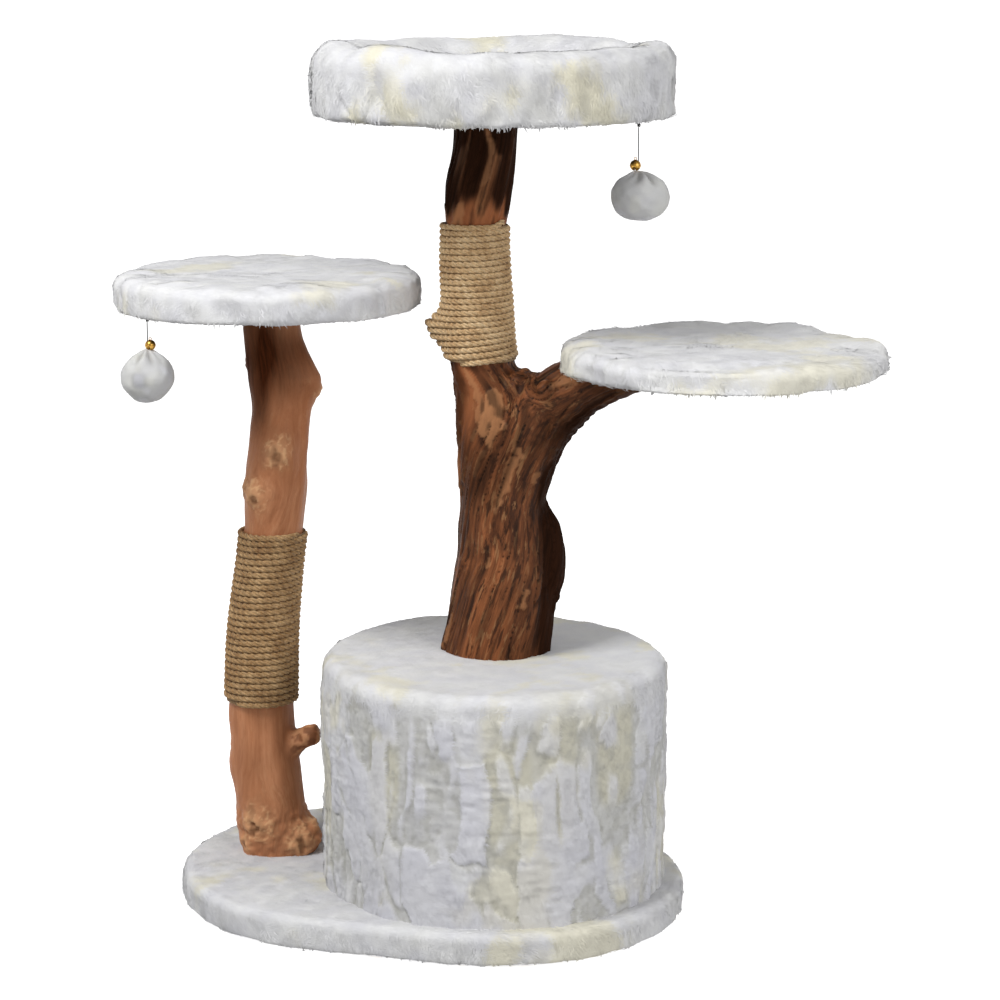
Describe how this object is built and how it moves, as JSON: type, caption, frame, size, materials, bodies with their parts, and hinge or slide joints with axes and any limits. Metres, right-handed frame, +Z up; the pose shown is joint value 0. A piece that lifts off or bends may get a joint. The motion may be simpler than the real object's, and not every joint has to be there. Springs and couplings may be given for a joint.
{
  "type": "cat tree",
  "caption": "Cat tree with a plush base, a hideaway drum, a forked natural trunk, a natural post, round plush platforms, a rimmed bed and hanging toys.",
  "frame": {"origin": "on the floor, at the centre of the base's underside", "axes": "+Z up, +X along the base from the left post towards the drum, +Y to the back, where the drum's entry hole faces"},
  "size_m": [0.94, 0.466, 1.048],
  "materials": {
    "plush": "long-pile faux fur, white with cream and grey patches",
    "soft_lining": "short-pile plush",
    "underside_cloth": "non-woven cloth",
    "board": "raw particle board",
    "trunk_wood": "peeled dark red-brown stem, satin lacquer",
    "post_wood": "peeled orange-tan stem, satin lacquer",
    "rope": "three-strand natural fibre rope",
    "foam": "open-cell foam and fibre stuffing",
    "steel": "zinc plated",
    "brass": "polished",
    "pad_rubber": "matte",
    "string": "thin waxed cord",
    "toy_plush": "velvety short-pile plush"
  },
  "bodies": {
    "tree": {"base_board": "board", "base_cover": "plush", "base_lining": "underside_cloth", "floor_pads": "pad_rubber", "post_bolt": "steel", "post_washer": "steel", "post_insert": "brass", "condo_floor": "board", "condo_floor_screws": "steel", "condo_wall": "board", "condo_roof": "board", "condo_side_cover": "plush", "condo_top_cover": "plush", "condo_lining": "soft_lining", "condo_door_trim": "soft_lining", "condo_mat": "soft_lining", "trunk": "trunk_wood", "trunk_rope": "rope", "trunk_bolts": "steel", "trunk_washers": "steel", "trunk_inserts": "brass", "hanger_bolts": "steel", "tee_nuts": "steel", "left_post": "post_wood", "left_post_rope": "rope", "left_board": "board", "left_foam": "foam", "left_cover": "plush", "left_lining": "underside_cloth", "right_board": "board", "right_foam": "foam", "right_cover": "plush", "right_lining": "underside_cloth", "bed_board": "board", "bed_bolster": "foam", "bed_cushion": "plush", "bed_cover": "plush", "bed_lining": "underside_cloth", "toy_staples": "steel"},
    "left_knot": {"left_toy_knot": "string"},
    "left_toy": {"left_toy_string": "string", "left_toy_bell": "brass", "left_toy_ball": "toy_plush"},
    "right_knot": {"right_toy_knot": "string"},
    "right_toy": {"right_toy_string": "string", "right_toy_bell": "brass", "right_toy_ball": "toy_plush"}
  },
  "joints": [
    {"name": "left_toy_swing_front", "type": "hinge", "parent": "tree", "child": "left_knot", "pos_m": [-0.305, -0.133, 0.7249], "axis": [1, 0, 0], "range_deg": [-40, 40]},
    {"name": "left_toy_swing_side", "type": "hinge", "parent": "left_knot", "child": "left_toy", "pos_m": [-0.305, -0.133, 0.7249], "axis": [0, 1, 0], "range_deg": [-40, 40]},
    {"name": "right_toy_swing_front", "type": "hinge", "parent": "tree", "child": "right_knot", "pos_m": [0.263, -0.036, 0.9579], "axis": [1, 0, 0], "range_deg": [-45, 45]},
    {"name": "right_toy_swing_side", "type": "hinge", "parent": "right_knot", "child": "right_toy", "pos_m": [0.263, -0.036, 0.9579], "axis": [0, 1, 0], "range_deg": [-45, 45]}
  ]
}
